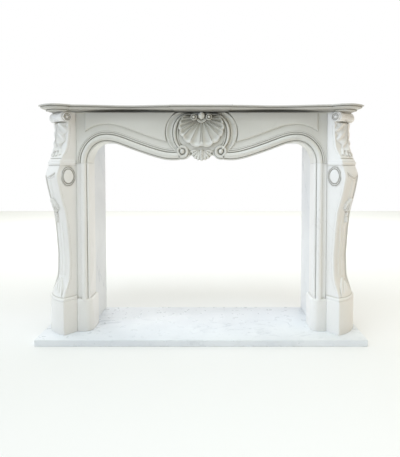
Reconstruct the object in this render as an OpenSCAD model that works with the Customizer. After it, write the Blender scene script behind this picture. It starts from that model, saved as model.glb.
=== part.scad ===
// Carved marble fireplace mantel: serpentine shelf, shell lintel, roll-moulded jambs,
// canted scroll consoles, plain returns and reveals, all standing on a hearth slab.
// X runs along the mantel, -Y faces the room, Z is up. The origin is the bottom centre.

/* [Overall] */
// Clear width between the jambs' inner edges
opening_w = 1076; // [960:1:1300]
// Depth of the hearth slab, from its front edge to the wall
hearth_d = 390; // [370:1:480]
// Thickness of the hearth slab
hearth_t = 30; // [20:1:50]
// Height from the top of the hearth to the underside of the shelf
leg_h = 1046; // [900:1:1260]
// Hearth left showing beside each console
hearth_margin = 12; // [4:1:60]

/* [Jambs] */
// Width of a jamb, from its inner edge to the console
jamb_w = 59; // [56:1:80]
// Distance from the hearth's front edge back to the jambs' flat ground
ground_setback = 101; // [96:1:125]
// Thickness of the jambs and the lintel behind that ground
jamb_t = 86; // [65:1:110]
// Height of the plinths
plinth_h = 157; // [110:1:200]
// How far a jamb's plinth stands in front of the ground
jamb_plinth_out = 14; // [8:1:16]
// How far a jamb's plinth reaches into the opening
jamb_plinth_in = 13; // [6:1:20]
// Radius of a jamb plinth's rounded inner corner
jamb_plinth_r = 34; // [15:1:40]

/* [Roll moulding] */
// Width of the plain fillet along the opening
fillet_w = 9; // [5:1:12]
// How far the fillet stands in front of the ground
fillet_out = 5; // [3:0.5:8]
// Width of the roll
roll_w = 28; // [20:1:34]
// How far the roll stands in front of the ground
roll_out = 16; // [10:1:20]
// Width of the bead beside the roll
bead_w = 17; // [12:1:20]
// How far the bead stands in front of the ground
bead_out = 8; // [5:0.5:10]
// Width of the cove beyond the bead
cove_w = 30; // [20:1:36]

/* [Lintel] */
// Height of the lintel at the jambs
lintel_h = 240; // [225:1:300]
// Drop from the shelf to the top of each arch
arch_drop = 131; // [120:1:150]
// Drop from the shelf to the low points beside the volutes
dip_drop = 217; // [200:1:225]
// Distance from the middle of the lintel to each low point
dip_x = 138; // [130:1:150]
// Width of the curve that springs from each jamb
arch_run = 96; // [80:1:110]
// How far the raised frieze panels stand in front of the ground
panel_out = 7; // [4:0.5:10]
// Distance from the middle of the lintel to each frieze panel
panel_x = 168; // [160:1:190]
// Width of the border between a frieze panel and the console
panel_border = 45; // [38:1:55]

/* [Cartouche] */
// Length of the shell's middle rib
shell_r = 137; // [110:1:142]
// How much shorter the shell's end ribs are
shell_fall = 53; // [30:1:60]
// Half the spread of the shell
shell_spread = 95; // [80:1:100]
// Number of lobes
shell_lobes = 13; // [9:2:17]
// Drop from the shelf to the shell's hinge
hinge_drop = 28; // [22:1:40]
// How far the shell's rim stands in front of the ground
shell_out = 31; // [22:1:34]
// Half the width of the frame round the shell
frame_rx = 134; // [125:1:142]
// Half the height of the frame round the shell
frame_rz = 98; // [85:1:104]
// Distance from the middle of the lintel to each volute's eye
volute_x = 91.5; // [84:0.5:98]
// Drop from the shelf to the volutes' eyes
volute_drop = 183.5; // [175:0.5:190]
// Radius of a volute
volute_r = 33; // [26:1:36]
// Drop from the shelf to the tip of the pendant leaves
pendant_drop = 229; // [222:1:236]

/* [Consoles] */
// Length of a console plinth's side faces
console_side = 65; // [56:1:80]
// Width of a console plinth's front, corner to corner
console_front = 151; // [125:1:175]
// Bulge of a console's bowed front
console_bow = 17; // [8:1:22]
// Distance from the hearth's front edge back to a console's front corner
console_setback = 43; // [40:1:70]
// How far a shaft's sides stand back from its plinth's
shaft_inset = 6; // [2:1:10]
// How far the ankle stands behind the plinth's front
ankle_in = 36; // [24:1:42]
// How far the knee stands in front of the plinth's front
knee_out = 22; // [5:1:26]
// Drop from the shelf to the knee
knee_drop = 296; // [280:1:330]
// Drop from the shelf to the bottom of the band
band_drop = 250; // [235:1:260]
// Height of the band
band_h = 38; // [28:1:44]
// How far the neck stands behind the plinth's front
neck_in = 40; // [28:1:44]
// Radius of the top scroll
scroll_r = 25; // [18:1:28]
// Half the height of the side medallion
medallion_rz = 49; // [36:1:54]
// Half the width of the side medallion
medallion_rx = 35; // [24:1:38]
// Distance from the side medallion to the jamb
medallion_gap = 5; // [2:0.5:10]

/* [Shelf] */
// Thickness of the shelf
shelf_t = 29; // [25:1:40]
// How far the shelf's tips reach past the console plinths
shelf_over = 5; // [0:1:10]
// Distance from the wall to the shelf's front at its middle
shelf_mid = 347; // [335:1:352]
// Distance from the wall to the shelf's front between its middle and corners
shelf_waist = 324; // [318:1:334]
// Distance from the wall to the shelf's corner breaks
shelf_break = 358; // [348:1:366]
// Distance from the wall to the front of the shelf's corners
shelf_corner = 382; // [370:1:390]
// Distance from the wall to the shelf's tips
shelf_tip = 333; // [322:1:345]
// How far the moulded edge runs in to the underside
edge_in = 38; // [28:1:42]

/* [Reveals and returns] */
// Thickness of the reveal slabs
reveal_t = 30; // [20:1:40]
// How far the reveals stand back from the jambs' inner edges
reveal_back = 7; // [3:1:12]
// Drop from the shelf to the top reveal's underside
reveal_drop = 131; // [120:1:145]
// Thickness of the return slabs
return_t = 30; // [20:1:40]

/* [Hidden] */
MARBLE = [0.93, 0.92, 0.90];
VEINED = [0.88, 0.89, 0.90];
// Overlap by which carved forms sink into the block they belong to
lap = 1;

wall_y = hearth_d / 2;
front_y = -hearth_d / 2;
leg_top = hearth_t + leg_h;
jamb_in = opening_w / 2;
joint_x = jamb_in + jamb_w;
ground_y = front_y + ground_setback;
jamb_back = ground_y + jamb_t;
plinth_top = hearth_t + plinth_h;
spring_z = leg_top - lintel_h;

// A console stands at 45 degrees. Its corner nearest the room is the origin of a plan
// frame with `out` along its front's normal and `side` along its front.
diag = sqrt(0.5);
corner_x = joint_x + console_side * diag;
corner_y = front_y + console_setback;
outer_x = corner_x + console_front * diag;
console_back = corner_y + (console_side + console_front) * diag;
hearth_w = 2 * (outer_x + hearth_margin);
shelf_x = outer_x + shelf_over;
return_x = outer_x - (console_side + 2 * shaft_inset) * diag - 2;

function lerp(a, b, t) = a + (b - a) * t;
function unit(v) = v / norm(v);
function ease(t) = (1 - cos(180 * t)) / 2;

// Smooth curve through knots [place, value].
function knot_at(k, x, i = 0) = i >= len(k) - 2 || x <= k[i + 1][0] ? i : knot_at(k, x, i + 1);
function knot_slope(k, i) =
    let (a = max(i - 1, 0), b = min(i + 1, len(k) - 1))
    (k[b][1] - k[a][1]) / (k[b][0] - k[a][0]);
function curve(k, x) =
    let (i = knot_at(k, x), h = k[i + 1][0] - k[i][0], t = (x - k[i][0]) / h)
    (2 * t^3 - 3 * t^2 + 1) * k[i][1] + (t^3 - 2 * t^2 + t) * h * knot_slope(k, i)
    + (3 * t^2 - 2 * t^3) * k[i + 1][1] + (t^3 - t^2) * h * knot_slope(k, i + 1);

// Skin over closed rings of equal count. The end rings are faces given by `cap`.
function skin_faces(count, rings) = [
    for (j = [0 : rings - 2], i = [0 : count - 1])
        let (a = j * count + i, b = j * count + (i + 1) % count)
        each [[a, b + count, b], [a, a + count, b + count]]];
module skin(rings) {
    count = len(rings[0]);
    last = (len(rings) - 1) * count;
    polyhedron([for (r = rings) each r], concat(skin_faces(count, len(rings)),
        [[for (i = [0 : count - 1]) i], [for (i = [count - 1 : -1 : 0]) last + i]]));
}

module both_sides() {
    children();
    mirror([1, 0, 0]) children();
}

// ---- Hearth, reveals and returns ----

module hearth_slab() color(VEINED)
    translate([-hearth_w / 2, front_y, 0]) cube([hearth_w, hearth_d, hearth_t]);

module right_reveal() color(MARBLE)
    translate([jamb_in + reveal_back, jamb_back, hearth_t])
        cube([reveal_t, wall_y - jamb_back, leg_h - reveal_drop]);
module left_reveal() mirror([1, 0, 0]) right_reveal();

module top_reveal() color(MARBLE) {
    half = jamb_in + reveal_back + reveal_t;
    translate([-half, jamb_back, leg_top - reveal_drop])
        cube([2 * half, wall_y - jamb_back, reveal_t]);
}

module right_return() color(MARBLE) {
    foot_out = shaft_inset / diag;
    translate([return_x - return_t, console_back, hearth_t])
        cube([return_t, wall_y - console_back, leg_h]);
    translate([return_x - return_t, console_back, hearth_t])
        cube([return_t + foot_out, wall_y - console_back, plinth_h]);
}
module left_return() mirror([1, 0, 0]) right_return();

// ---- Roll moulding: [distance from the roll's inner edge, height off the ground] ----

ROLL_STEPS = 4;
function roll_profile(steps = ROLL_STEPS) = concat(
    [[-fillet_w, fillet_out], [-1, fillet_out], [0, fillet_out - 2]],
    [for (i = [1 : steps - 1]) let (a = 180 * i / steps)
        [roll_w * (1 - cos(a)) / 2, fillet_out - 2 + (roll_out - fillet_out + 2) * sin(a)]],
    [[roll_w, fillet_out - 2]]);
function band_profile() = [
    for (i = [1 : 3]) let (a = 60 * i)
        [roll_w + bead_w * (1 - cos(a)) / 2, lerp(3, bead_out, sin(a))],
    for (i = [1 : 2]) [roll_w + bead_w + cove_w * i / 2, 4 * (1 - i / 2)^2 - lap]];

// ---- Jambs ----

JAMB_ROLL_STEPS = 14;
jamb_line = jamb_in + fillet_w;

module jamb_profile() {
    shaft = [for (p = roll_profile(JAMB_ROLL_STEPS)) [jamb_line + p[0], ground_y - p[1]]];
    cove_start = jamb_line + roll_w;
    cove = [for (i = [1 : 6]) let (t = i / 6)
        [lerp(cove_start, joint_x, t), ground_y - 1 - (fillet_out - 3) * (2 * t - 1)^2]];
    polygon(concat([[jamb_in, jamb_back]], shaft, cove, [[joint_x, jamb_back]]));
}

module jamb_plinth(inset) {
    left = jamb_in - jamb_plinth_in + inset;
    front = ground_y - jamb_plinth_out + inset;
    r = jamb_plinth_r;
    arris = 4;
    corner = [for (a = [0 : 7.5 : 90]) [left + r - r * cos(a), front + r - r * sin(a)]];
    polygon(concat([[left, jamb_back]], corner,
        [[joint_x - arris, front], [joint_x, front + arris], [joint_x, jamb_back]]));
}

module right_jamb() color(MARBLE) {
    arris_h = 6;
    translate([0, 0, plinth_top]) linear_extrude(spring_z - plinth_top) jamb_profile();
    translate([0, 0, hearth_t]) linear_extrude(plinth_h - arris_h) jamb_plinth(0);
    translate([0, 0, plinth_top - arris_h]) linear_extrude(arris_h) jamb_plinth(3);
}
module left_jamb() mirror([1, 0, 0]) right_jamb();

// ---- Lintel ----

ARCH_STEPS = 7;
WAVE_STEPS = 12;
peak_x = jamb_line - arch_run;
peak_z = leg_top - arch_drop;
dip_z = leg_top - dip_drop;
wave_mid = (peak_z + dip_z) / 2;
wave_amp = (peak_z - dip_z) / 2;
wave_end = 1.1;

function wave(u) = 180 * (u + 0.03 * sin(180 * u) + 0.03 * sin(360 * u));
function arch_point(a) = [peak_x + arch_run * cos(a), spring_z + (peak_z - spring_z) * sin(a)];
function wave_point(u) = [lerp(peak_x, dip_x, u), wave_mid + wave_amp * cos(wave(u))];
arch_path = concat(
    [for (i = [0 : ARCH_STEPS]) arch_point(90 * i / ARCH_STEPS)],
    [for (i = [1 : WAVE_STEPS]) wave_point(wave_end * i / WAVE_STEPS)]);

// Normals point away from the opening, so they are the path's direction turned by -90.
function path_normal(p, i) =
    let (t = unit(p[min(i + 1, len(p) - 1)] - p[max(i - 1, 0)]))
    i == 0 ? [1, 0] : [t[1], -t[0]];
function offset_path(p, d) = [for (i = [0 : len(p) - 1]) p[i] + d * path_normal(p, i)];

module sweep(path, profile, sunk = 3) {
    closed = concat([[profile[0][0], -sunk]], profile, [[profile[len(profile) - 1][0], -sunk]]);
    skin([for (i = [0 : len(path) - 1]) let (n = path_normal(path, i), lift = i == 0 ? lap / 2 : 0)
        [for (q = closed) [min(path[i][0] + n[0] * q[0], joint_x - lap / 2), ground_y - q[1],
            min(path[i][1] + n[1] * q[0] + lift, leg_top - lap)]]]);
}

module slab(y_front, y_back) {
    translate([0, y_back, 0]) rotate([90, 0, 0]) linear_extrude(y_back - y_front) children();
}

pendant_rx = 46;
pendant_rz = 28;
pendant_z = leg_top - pendant_drop + pendant_rz + 6;
module lintel_outline() {
    into_volute = concat([for (i = [0 : len(arch_path) - 2]) arch_path[i]],
        [wave_point(wave_end + 0.04)]);
    half = concat([[joint_x, leg_top], [joint_x, spring_z]], offset_path(into_volute, lap - fillet_w),
        [[volute_x - volute_r / 2, leg_top - volute_drop]],
        [for (a = [0 : 22.5 : 90]) [pendant_rx * cos(a), pendant_z - pendant_rz * sin(a)]]);
    polygon(concat(half, [for (i = [len(half) - 2 : -1 : 0]) [-half[i][0], half[i][1]]]));
}

module frieze_panel() {
    start = roll_w + bead_w + cove_w + lap;
    top = leg_top - lap;
    lower = [for (p = offset_path(arch_path, start))
        if (p[0] > panel_x && p[0] < joint_x - panel_border) p];
    outer = joint_x - panel_border;
    polygon(concat([[outer, top], [outer, lower[0][1] - 6]], lower,
        [[panel_x, lower[len(lower) - 1][1] - 4], [panel_x, top]]));
}

// Rounded bar between two points of the front, proud of the ground by h0 and h1.
BLOB_FN = 6;
module blob(p0, r0, h0, p1, r1, h1) {
    hull() {
        translate([p0[0], ground_y - h0 + r0, p0[1]]) sphere(r0, $fn = BLOB_FN);
        translate([p1[0], ground_y - h1 + r1, p1[1]]) sphere(r1, $fn = BLOB_FN);
    }
}

// Shell: a fan round its hinge, with a flute in each lobe and a scalloped rim.
FLUTE_STEPS = 3;
SHELL_RINGS = 3;
SHELL_HUB = 9;
hinge_z = leg_top - hinge_drop;
function shell_reach(a) = shell_r - shell_fall * (abs(a) / shell_spread)^2.6;
function shell_point(i, j) =
    let (steps = shell_lobes * FLUTE_STEPS, a = shell_spread * (2 * i / steps - 1),
        flute = sin(180 * (i % FLUTE_STEPS) / FLUTE_STEPS), t = j / SHELL_RINGS,
        r = lerp(SHELL_HUB, shell_reach(a), t) * (1 - 0.05 * (1 - flute) * t),
        out = lerp(14, shell_out, t^1.5) - 9 * flute * sin(30 + 120 * t))
    [r * sin(a), ground_y - out, hinge_z - r * cos(a)];
module shell() {
    steps = shell_lobes * FLUTE_STEPS;
    skin([for (i = [0 : steps]) concat(
        [for (j = [0 : SHELL_RINGS]) shell_point(i, j)],
        [for (j = [SHELL_RINGS, 0]) let (p = shell_point(i, j))
            [p[0] * 0.97, ground_y + 3, lerp(p[2], hinge_z, 0.03)]])]);
}

function frame_point(a) =
    [frame_rx * cos(a), leg_top - hinge_drop - 70 + frame_rz * sin(a)];
frame_path = [for (a = [-44 : 13.5 : 64]) frame_point(a)];

module cartouche() {
    eye = [volute_x, leg_top - volute_drop];
    shell();
    both_sides() {
        // ridge round the shell, ending in a small scroll beside the bud
        sweep(frame_path, [[-13, 6], [-9, 17], [-3, 18], [1, 9], [6, 11], [26, 2]]);
        translate([44, ground_y + 3, leg_top - 19]) rotate([90, 0, 0]) cylinder(r = 14, h = 21, $fn = 20);
        // volute where the roll ends
        translate([eye[0], jamb_back - lap, eye[1]]) rotate([90, 0, 0])
            cylinder(r = volute_r, h = jamb_t + fillet_out, $fn = 28);
        translate([eye[0], ground_y, eye[1]]) rotate([90, 0, 0])
            cylinder(r1 = volute_r - 7, r2 = volute_r - 13, h = roll_out, $fn = 28);
        translate([eye[0], ground_y, eye[1]]) rotate([90, 0, 0])
            cylinder(r1 = 12, r2 = 7, h = roll_out + 5, $fn = 16);
        // leaves of the pendant, fanned from its middle
        for (i = [0 : 3])
            blob([8 + 6 * i, leg_top - 180 - 3 * i], 10, 14,
                [lerp(9, 48, i / 3), lerp(leg_top - pendant_drop + 9, leg_top - 204, (i / 3)^1.5)], 9, 12);
    }
    // bud at the top and rib of the pendant
    blob([0, leg_top - 13], 12, 22, [0, hinge_z - 5], 15, 28);
    blob([0, leg_top - 176], 11, 19, [0, leg_top - pendant_drop + 9], 9, 15);
    blob([-11, leg_top - 13], 11, 17, [11, leg_top - 13], 11, 17);
}

module lintel() color(MARBLE) {
    slab(ground_y, jamb_back) lintel_outline();
    both_sides() {
        sweep(arch_path, concat(roll_profile(), band_profile()));
        slab(ground_y - panel_out, ground_y + lap) frieze_panel();
    }
    cartouche();
}

// ---- Consoles ----

band_bottom = leg_top - band_drop;
band_top = band_bottom + band_h;
knee_z = leg_top - knee_drop;
scroll_z = leg_top - scroll_r + 2;
scroll_low = scroll_z - scroll_r + 3;
torus_h = 15;
band_swell = 7;
foot_z = plinth_top + torus_h + 4;
scroll_out = -scroll_r - 7;
SHAFT = [[foot_z, -6], [foot_z + 36, -18], [foot_z + 80, 4 - ankle_in], [foot_z + 150, -ankle_in],
    [foot_z + 200, -ankle_in], [lerp(foot_z + 200, knee_z, 0.5), -15 - ankle_in / 4],
    [knee_z - 100, 3], [knee_z - 38, knee_out - 3], [knee_z, knee_out], [band_bottom, 5]];
NECK = [[band_top, -7], [band_top + 24, -22], [band_top + 50, 8 - neck_in],
    [band_top + 110, -neck_in], [scroll_low, -neck_in]];

function console_out(z) =
    z <= plinth_top ? 0
    : z <= plinth_top + torus_h ? -4 + 4 * sin(180 * (z - plinth_top) / torus_h)
    : z < foot_z ? -7
    : z < band_bottom ? curve(SHAFT, z)
    : z <= band_top ? lerp(2, -9, (z - band_bottom) / band_h)
        + band_swell * sin(180 * (z - band_bottom) / band_h)
    : z < scroll_low ? curve(NECK, z)
    : scroll_out + sqrt(max(scroll_r^2 - (z - scroll_z)^2, 0));
function console_inset(z) =
    z <= plinth_top ? 0
    : z <= plinth_top + torus_h ? 3 - 3 * sin(180 * (z - plinth_top) / torus_h)
    : z <= band_bottom || z >= band_top ? shaft_inset
    : shaft_inset - band_swell * sin(180 * (z - band_bottom) / band_h);

// Relief across the front at height z: raised borders and a middle rib between two
// flutes on the shaft, and a leaf with a middle vein on the neck.
FRONT_STEPS = 8;
function within(z, low, high, soft) =
    max(0, min(1, (z - low) / soft, (high - z) / soft));
function front_relief(z, t) =
    let (flute = within(z, foot_z + 60, knee_z - 40, 40),
        leaf = within(z, band_top + 6, scroll_z - 30, 30),
        side = abs(2 * t - 1))
    -6 * flute * max(0, sin(240 * (side - 0.08)))
    + leaf * (9 * cos(90 * side) - 4 * max(0, cos(900 * side)) + 3 * sin((z - band_top) * 9) * side);

function console_ring(z) =
    let (inset = console_inset(z), out = console_out(z), w = console_front - 2 * inset,
        front = [for (i = [0 : FRONT_STEPS]) let (t = i / FRONT_STEPS)
            [out + console_bow * (1 - (2 * t - 1)^2) + front_relief(z, t), inset + w * t]],
        plan = [for (p = front)
            [corner_x + (p[0] + p[1]) * diag, corner_y + (p[1] - p[0]) * diag]],
        far = corner_x + corner_y + (console_front - inset) / diag - console_back)
    concat([[joint_x, corner_y + (console_side + 2 * inset) * diag, z]],
        [for (p = plan) [p[0], p[1], z]],
        [[far, console_back, z], [joint_x, console_back, z]]);

function steps(low, high, count) = [for (i = [0 : count]) lerp(low, high, i / count)];
console_levels = concat([hearth_t, plinth_top - 1], steps(plinth_top + 1, plinth_top + torus_h - 1, 3),
    [foot_z - 3], steps(foot_z, foot_z + 80, 3), steps(foot_z + 115, band_bottom - 3, 12),
    steps(band_bottom, band_top, 5), steps(band_top + 3, scroll_z - scroll_r + 1, 6),
    [for (a = [-60 : 24 : 36]) scroll_z + scroll_r * sin(a)], [leg_top]);

// Places its children, drawn in the plane of [out, z], on a console's inner side face.
module on_side(out, z, lift) {
    translate([corner_x + (out + lift) * diag, corner_y + (lift - out) * diag, z])
        rotate([90, 0, -45]) children();
}

module right_console() color(MARBLE) {
    medallion_z = leg_top - 301;
    medallion_out = medallion_rx + medallion_gap - console_side - shaft_inset;
    rim = 10;
    skin([for (z = console_levels) console_ring(z)]);
    // eyes of the scroll, on both sides
    on_side(scroll_out, scroll_z, console_front - shaft_inset + 2)
        cylinder(r = 17, h = console_front - 2 * shaft_inset + 4, $fn = 20);
    // medallion on the side face
    on_side(medallion_out, medallion_z, shaft_inset + 12)
        scale([medallion_rx, medallion_rz, 1]) cylinder(r = 1, h = 14, $fn = 24);
    on_side(medallion_out, medallion_z, shaft_inset + 12)
        scale([medallion_rx - rim, medallion_rz - rim, 1]) cylinder(r = 1, h = 17, $fn = 24);
    console_leaves();
}

// A drop of carving on the bowed front, between two heights and two places across it.
module front_blob(t0, z0, r0, t1, z1, r1) {
    hull() for (k = [[t0, z0, r0], [t1, z1, r1]]) {
        z = k[1];
        inset = console_inset(z);
        out = console_out(z) + console_bow * (1 - (2 * k[0] - 1)^2);
        side = inset + (console_front - 2 * inset) * k[0];
        translate([corner_x + (out + side) * diag, corner_y + (side - out) * diag, z])
            sphere(k[2], $fn = BLOB_FN);
    }
}

module console_leaves() {
    // husks hanging down the middle of the knee
    for (i = [0 : 3])
        front_blob(0.5, knee_z - 30 - 45 * i, 9 - i, 0.5, knee_z - 62 - 45 * i, 5);
    // lambrequin across the top of the knee
    for (s = [-1, 1], i = [0 : 1])
        front_blob(0.5 + s * 0.14 * i, band_bottom - 28 + 12 * i, 6,
            0.5 + s * 0.14 * (i + 1), band_bottom - 22 + 14 * i, 6);
    // tongue at the foot
    front_blob(0.5, foot_z + 12, 12, 0.5, foot_z + 42, 9);
    // tips of the acanthus leaf
    for (s = [-1, 0, 1])
        front_blob(0.5 + s * 0.26, band_top + 60, 9, 0.5 + s * 0.3, band_top + 24 - 8 * (1 - abs(s)), 6);
}
module left_console() mirror([1, 0, 0]) right_console();

// ---- Shelf ----

SHELF_BACKS = 5;
mid_half = 147;
notch = 6;
break_x = joint_x + 4;
waist_x = lerp(mid_half, break_x, 0.42);
crest_x = lerp(break_x, shelf_x, 0.43);
function share(x, from, to) = (x - from) / (to - from);
function shelf_front(x) =
    x < mid_half ? shelf_mid
    : x < waist_x ? lerp(shelf_mid - notch, shelf_waist, ease(share(x, mid_half, waist_x)))
    : x < break_x ? lerp(shelf_waist, shelf_break - notch, ease(share(x, waist_x, break_x)))
    : x < crest_x ? lerp(shelf_corner, shelf_break, share(x, crest_x, break_x)^2)
    : lerp(shelf_corner, shelf_tip, share(x, crest_x, shelf_x)^2);
shelf_half_x = concat([0, mid_half - 1], steps(mid_half + 3, waist_x - 1, 5),
    steps(waist_x + 50, break_x - 4, 5), steps(break_x + 1, crest_x - 1, 4),
    steps(crest_x + 20, shelf_x, 4));
shelf_line = concat(
    [for (i = [len(shelf_half_x) - 1 : -1 : 1]) let (x = shelf_half_x[i]) [-x, wall_y - shelf_front(x)]],
    [for (x = shelf_half_x) [x, wall_y - shelf_front(x)]]);

// Plan outline moved in by d along mitred normals, the wall side left where it is.
function edge_dir(a, b) = let (t = unit(b - a)) [-t[1], t[0]];
function shelf_ring(d, z) =
    let (n = len(shelf_line), far = shelf_x - d)
    concat(
        [for (i = [0 : n - 1])
            let (n1 = i == 0 ? [1, 0] : edge_dir(shelf_line[i - 1], shelf_line[i]),
                n2 = i == n - 1 ? [-1, 0] : edge_dir(shelf_line[i], shelf_line[i + 1]),
                p = shelf_line[i] + d * (n1 + n2) / (1 + n1 * n2))
            [p[0], p[1], z]],
        [for (j = [0 : SHELF_BACKS - 1]) [lerp(far, -far, j / (SHELF_BACKS - 1)), wall_y, z]]);

// The edge's profile: [share of the thickness from the top, how far in].
shelf_edge = concat([[0, 1.5], [0.06, 0], [0.22, 0], [0.25, 6], [0.33, 7]],
    [for (a = [30 : 30 : 90]) [0.33 + 0.4 * sin(a), 7 + (edge_in - 16) * (1 - cos(a))]],
    [[0.76, edge_in - 6], [0.93, edge_in - 5], [1, edge_in]]);

module shelf() color(MARBLE) {
    rings = [for (i = [len(shelf_edge) - 1 : -1 : 0])
        shelf_ring(shelf_edge[i][1], leg_top + shelf_t * (1 - shelf_edge[i][0]))];
    fronts = len(shelf_line);
    count = fronts + SHELF_BACKS;
    last = (len(rings) - 1) * count;
    back_of = [for (i = [0 : fronts - 2]) count - 1 - round(i / (fronts - 2) * (SHELF_BACKS - 1))];
    cap = [for (i = [0 : fronts - 2]) each concat([[i, i + 1, back_of[i]]],
        i < fronts - 2 && back_of[i] != back_of[i + 1] ? [[i + 1, back_of[i + 1], back_of[i]]] : [])];
    polyhedron([for (r = rings) each r], concat(skin_faces(count, len(rings)),
        cap, [for (f = cap) [f[2] + last, f[1] + last, f[0] + last]]));
}

hearth_slab();
left_console();
right_console();
left_jamb();
right_jamb();
lintel();
shelf();
left_reveal();
right_reveal();
top_reveal();
left_return();
right_return();
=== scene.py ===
"""Looks of the fireplace mantel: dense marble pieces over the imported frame, floor, light and camera.

Lengths are in millimetres in the row frame and become metres in new_object(). The lights, the
camera and the marble's pattern are in metres.
"""

import math

import bpy
import numpy as np
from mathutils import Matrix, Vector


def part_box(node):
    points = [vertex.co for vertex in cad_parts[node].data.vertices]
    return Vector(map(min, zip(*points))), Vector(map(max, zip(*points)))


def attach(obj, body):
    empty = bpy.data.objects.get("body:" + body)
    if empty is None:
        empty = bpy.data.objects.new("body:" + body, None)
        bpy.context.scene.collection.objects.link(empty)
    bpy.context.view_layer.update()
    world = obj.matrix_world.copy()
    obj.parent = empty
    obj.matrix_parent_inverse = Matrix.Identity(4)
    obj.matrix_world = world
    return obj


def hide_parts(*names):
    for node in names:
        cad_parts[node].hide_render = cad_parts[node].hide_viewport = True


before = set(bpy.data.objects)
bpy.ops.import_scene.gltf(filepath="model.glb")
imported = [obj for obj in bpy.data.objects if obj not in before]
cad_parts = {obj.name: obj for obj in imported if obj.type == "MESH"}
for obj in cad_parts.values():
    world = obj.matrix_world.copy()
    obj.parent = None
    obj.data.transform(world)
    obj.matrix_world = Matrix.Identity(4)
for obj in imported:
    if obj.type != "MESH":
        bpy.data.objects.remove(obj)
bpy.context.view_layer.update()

MM = 0.001
DIAG = math.sqrt(0.5)


def node_box(node):
    """Low and high corner of a CAD node, in millimetres."""
    return [[round(v / MM, 3) for v in corner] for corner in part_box(node)]


jamb_low, jamb_high = node_box("right_jamb")
lintel_high = node_box("lintel")[1]
shelf_low, shelf_high = node_box("shelf")

# Main lines of the mantel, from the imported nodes
LEG_BOTTOM = jamb_low[2]
SPRING_Z = jamb_high[2]
LEG_TOP = shelf_low[2]
SHELF_TOP = shelf_high[2]
WALL_Y = shelf_high[1]
JOINT_X = lintel_high[0]
JAMB_BACK = lintel_high[1]
PLINTH_IN = jamb_low[0]
PLINTH_TOP = LEG_BOTTOM + 157.0
ROLL_OUT = 16.0
GROUND_Y = jamb_low[1] + ROLL_OUT
FILLET_WIDE = 9.0
JAMB_IN = PLINTH_IN + 13.0
JAMB_LINE = JAMB_IN + FILLET_WIDE


# ---- Small tools ----


def lerp(a, b, t):
    return a + (b - a) * t


def smooth(x, low, high):
    """0 below low, 1 above high, eased between."""
    t = np.clip((x - low) / (high - low), 0.0, 1.0)
    return t * t * (3.0 - 2.0 * t)


def hump(x, middle, half):
    """Rounded ridge of unit height over a half-width."""
    return np.sqrt(np.clip(1.0 - ((x - middle) / half) ** 2, 0.0, 1.0))


def spline(knots, x):
    """Smooth curve through knots [place, value]."""
    k = np.asarray(knots, float)
    place, value = k[:, 0], k[:, 1]
    slope = np.gradient(value, place)
    slope[1:-1] = (value[2:] - value[:-2]) / (place[2:] - place[:-2])
    i = np.clip(np.searchsorted(place, x, side="right") - 1, 0, len(k) - 2)
    h = place[i + 1] - place[i]
    t = (x - place[i]) / h
    start = (2 * t**3 - 3 * t**2 + 1) * value[i] + (t**3 - 2 * t**2 + t) * h * slope[i]
    end = (3 * t**2 - 2 * t**3) * value[i + 1] + (t**3 - t**2) * h * slope[i + 1]
    return start + end


def drop(x, z, p0, r0, p1, r1, high):
    """Rounded drop of carving between two circles."""
    ax = p1[0] - p0[0]
    az = p1[1] - p0[1]
    t = np.clip(((x - p0[0]) * ax + (z - p0[1]) * az) / (ax * ax + az * az), 0.0, 1.0)
    away = np.hypot(x - p0[0] - ax * t, z - p0[1] - az * t)
    return high * hump(away, 0.0, lerp(r0, r1, t))


def enclosed(verts, faces):
    """Signed volume of a closed mesh."""
    total = 0.0
    for face in faces:
        a = verts[face[0]]
        for i in range(1, len(face) - 1):
            total += np.dot(a, np.cross(verts[face[i]], verts[face[i + 1]]))
    return total


def new_object(name, verts, faces):
    mesh = bpy.data.meshes.new(name)
    mesh.from_pydata((np.asarray(verts) * MM).tolist(), [], faces)
    mesh.update()
    obj = bpy.data.objects.new(name, mesh)
    bpy.context.scene.collection.objects.link(obj)
    return obj


def quads_between(count, rows):
    """Quads between closed rings of points, as an array of corner numbers."""
    row = np.arange(count)
    after = (row + 1) % count
    blocks = [
        np.stack([row + j * count, after + j * count, after + (j + 1) * count, row + (j + 1) * count], 1)
        for j in range(rows - 1)
    ]
    return np.concatenate(blocks)


def quad_volume(verts, quads):
    a, b, c, d = (verts[quads[:, i]] for i in range(4))
    return (np.einsum("ij,ij->i", a, np.cross(b, c)) + np.einsum("ij,ij->i", a, np.cross(c, d))).sum()


def loft(name, rings):
    """Closed shell through rings of equal count, with a face at each end."""
    rings = np.asarray(rings, float)
    rows, count = rings.shape[:2]
    verts = rings.reshape(-1, 3)
    centred = verts - verts.mean(0)
    quads = quads_between(count, rows)
    ends = [list(range(count))[::-1], [(rows - 1) * count + i for i in range(count)]]
    if quad_volume(centred, quads) + enclosed(centred, ends) < 0:
        quads = quads[:, ::-1]
        ends = [end[::-1] for end in ends]
    return new_object(name, verts, quads.tolist() + ends)


def panel_solid(name, front, back_y):
    """Closed solid from a grid of front points, with the same grid flat behind it."""
    back = front.copy()
    back[..., 1] = back_y
    rings = np.concatenate([front, back[:, ::-1]], axis=1)
    return loft(name, rings)


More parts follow.
